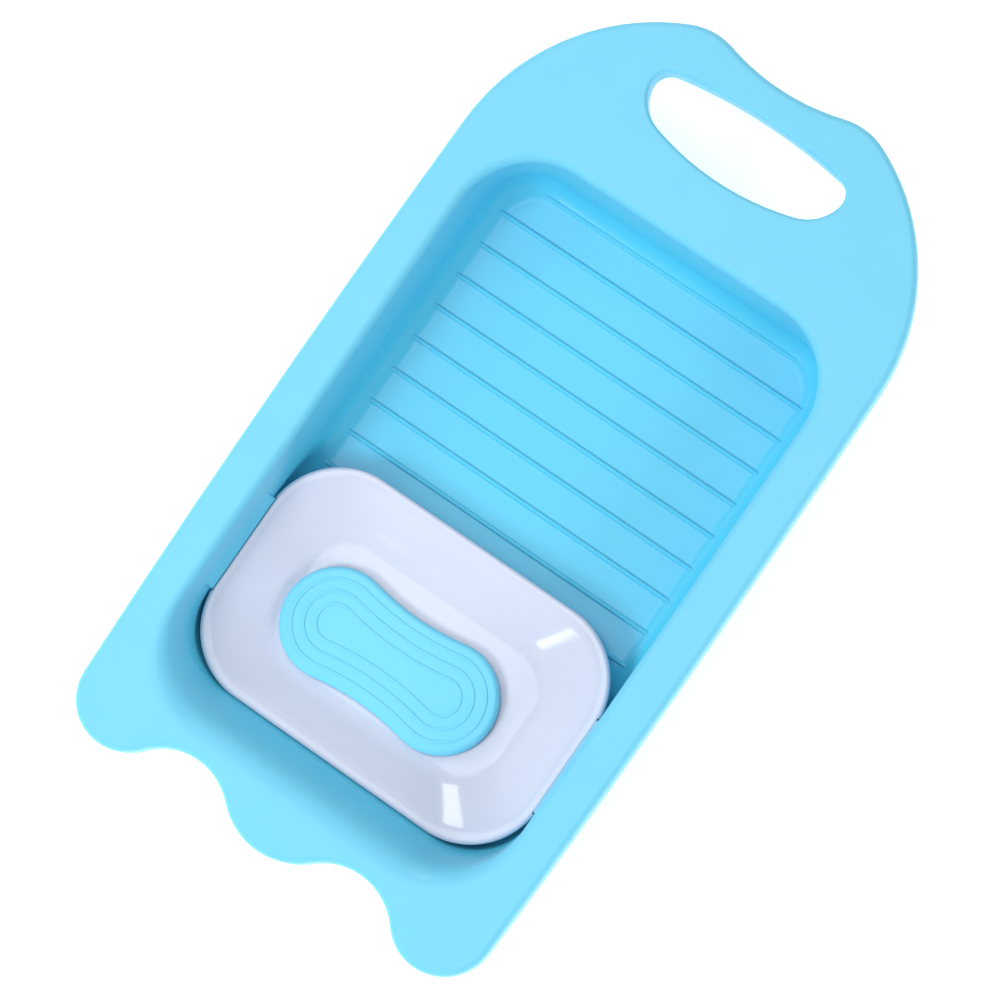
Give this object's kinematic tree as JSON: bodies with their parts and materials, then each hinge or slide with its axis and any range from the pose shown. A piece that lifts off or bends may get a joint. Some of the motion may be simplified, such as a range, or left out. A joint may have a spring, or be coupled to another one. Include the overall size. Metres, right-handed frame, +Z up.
{
  "type": "washboard",
  "caption": "Moulded tray washboard with cross ribs, a slotted handle end, a lift-out soap dish and a soap rest in the dish.",
  "frame": {"origin": "on the table, under the middle of the board", "axes": "+X across the board, +Y along it towards the hand slot, +Z up out of the basin"},
  "size_m": [0.2576, 0.4723, 0.048],
  "materials": {
    "blue_board_plastic": "light blue moulded plastic, glossy with a faint mould texture",
    "white_dish_plastic": "white moulded plastic, high gloss",
    "blue_rest_plastic": "light blue moulded plastic, satin gloss"
  },
  "bodies": {
    "board": {"washboard": "blue_board_plastic"},
    "dish": {"soap_dish": "white_dish_plastic"},
    "rest": {"soap_rest": "blue_rest_plastic"}
  },
  "joints": [
    {"name": "dish_lift", "type": "slide", "parent": "board", "child": "dish", "axis": [0, 0, 1], "range_m": [0, 0.06]},
    {"name": "rest_lift", "type": "slide", "parent": "dish", "child": "rest", "axis": [0, 0, 1], "range_m": [0, 0.06]}
  ]
}
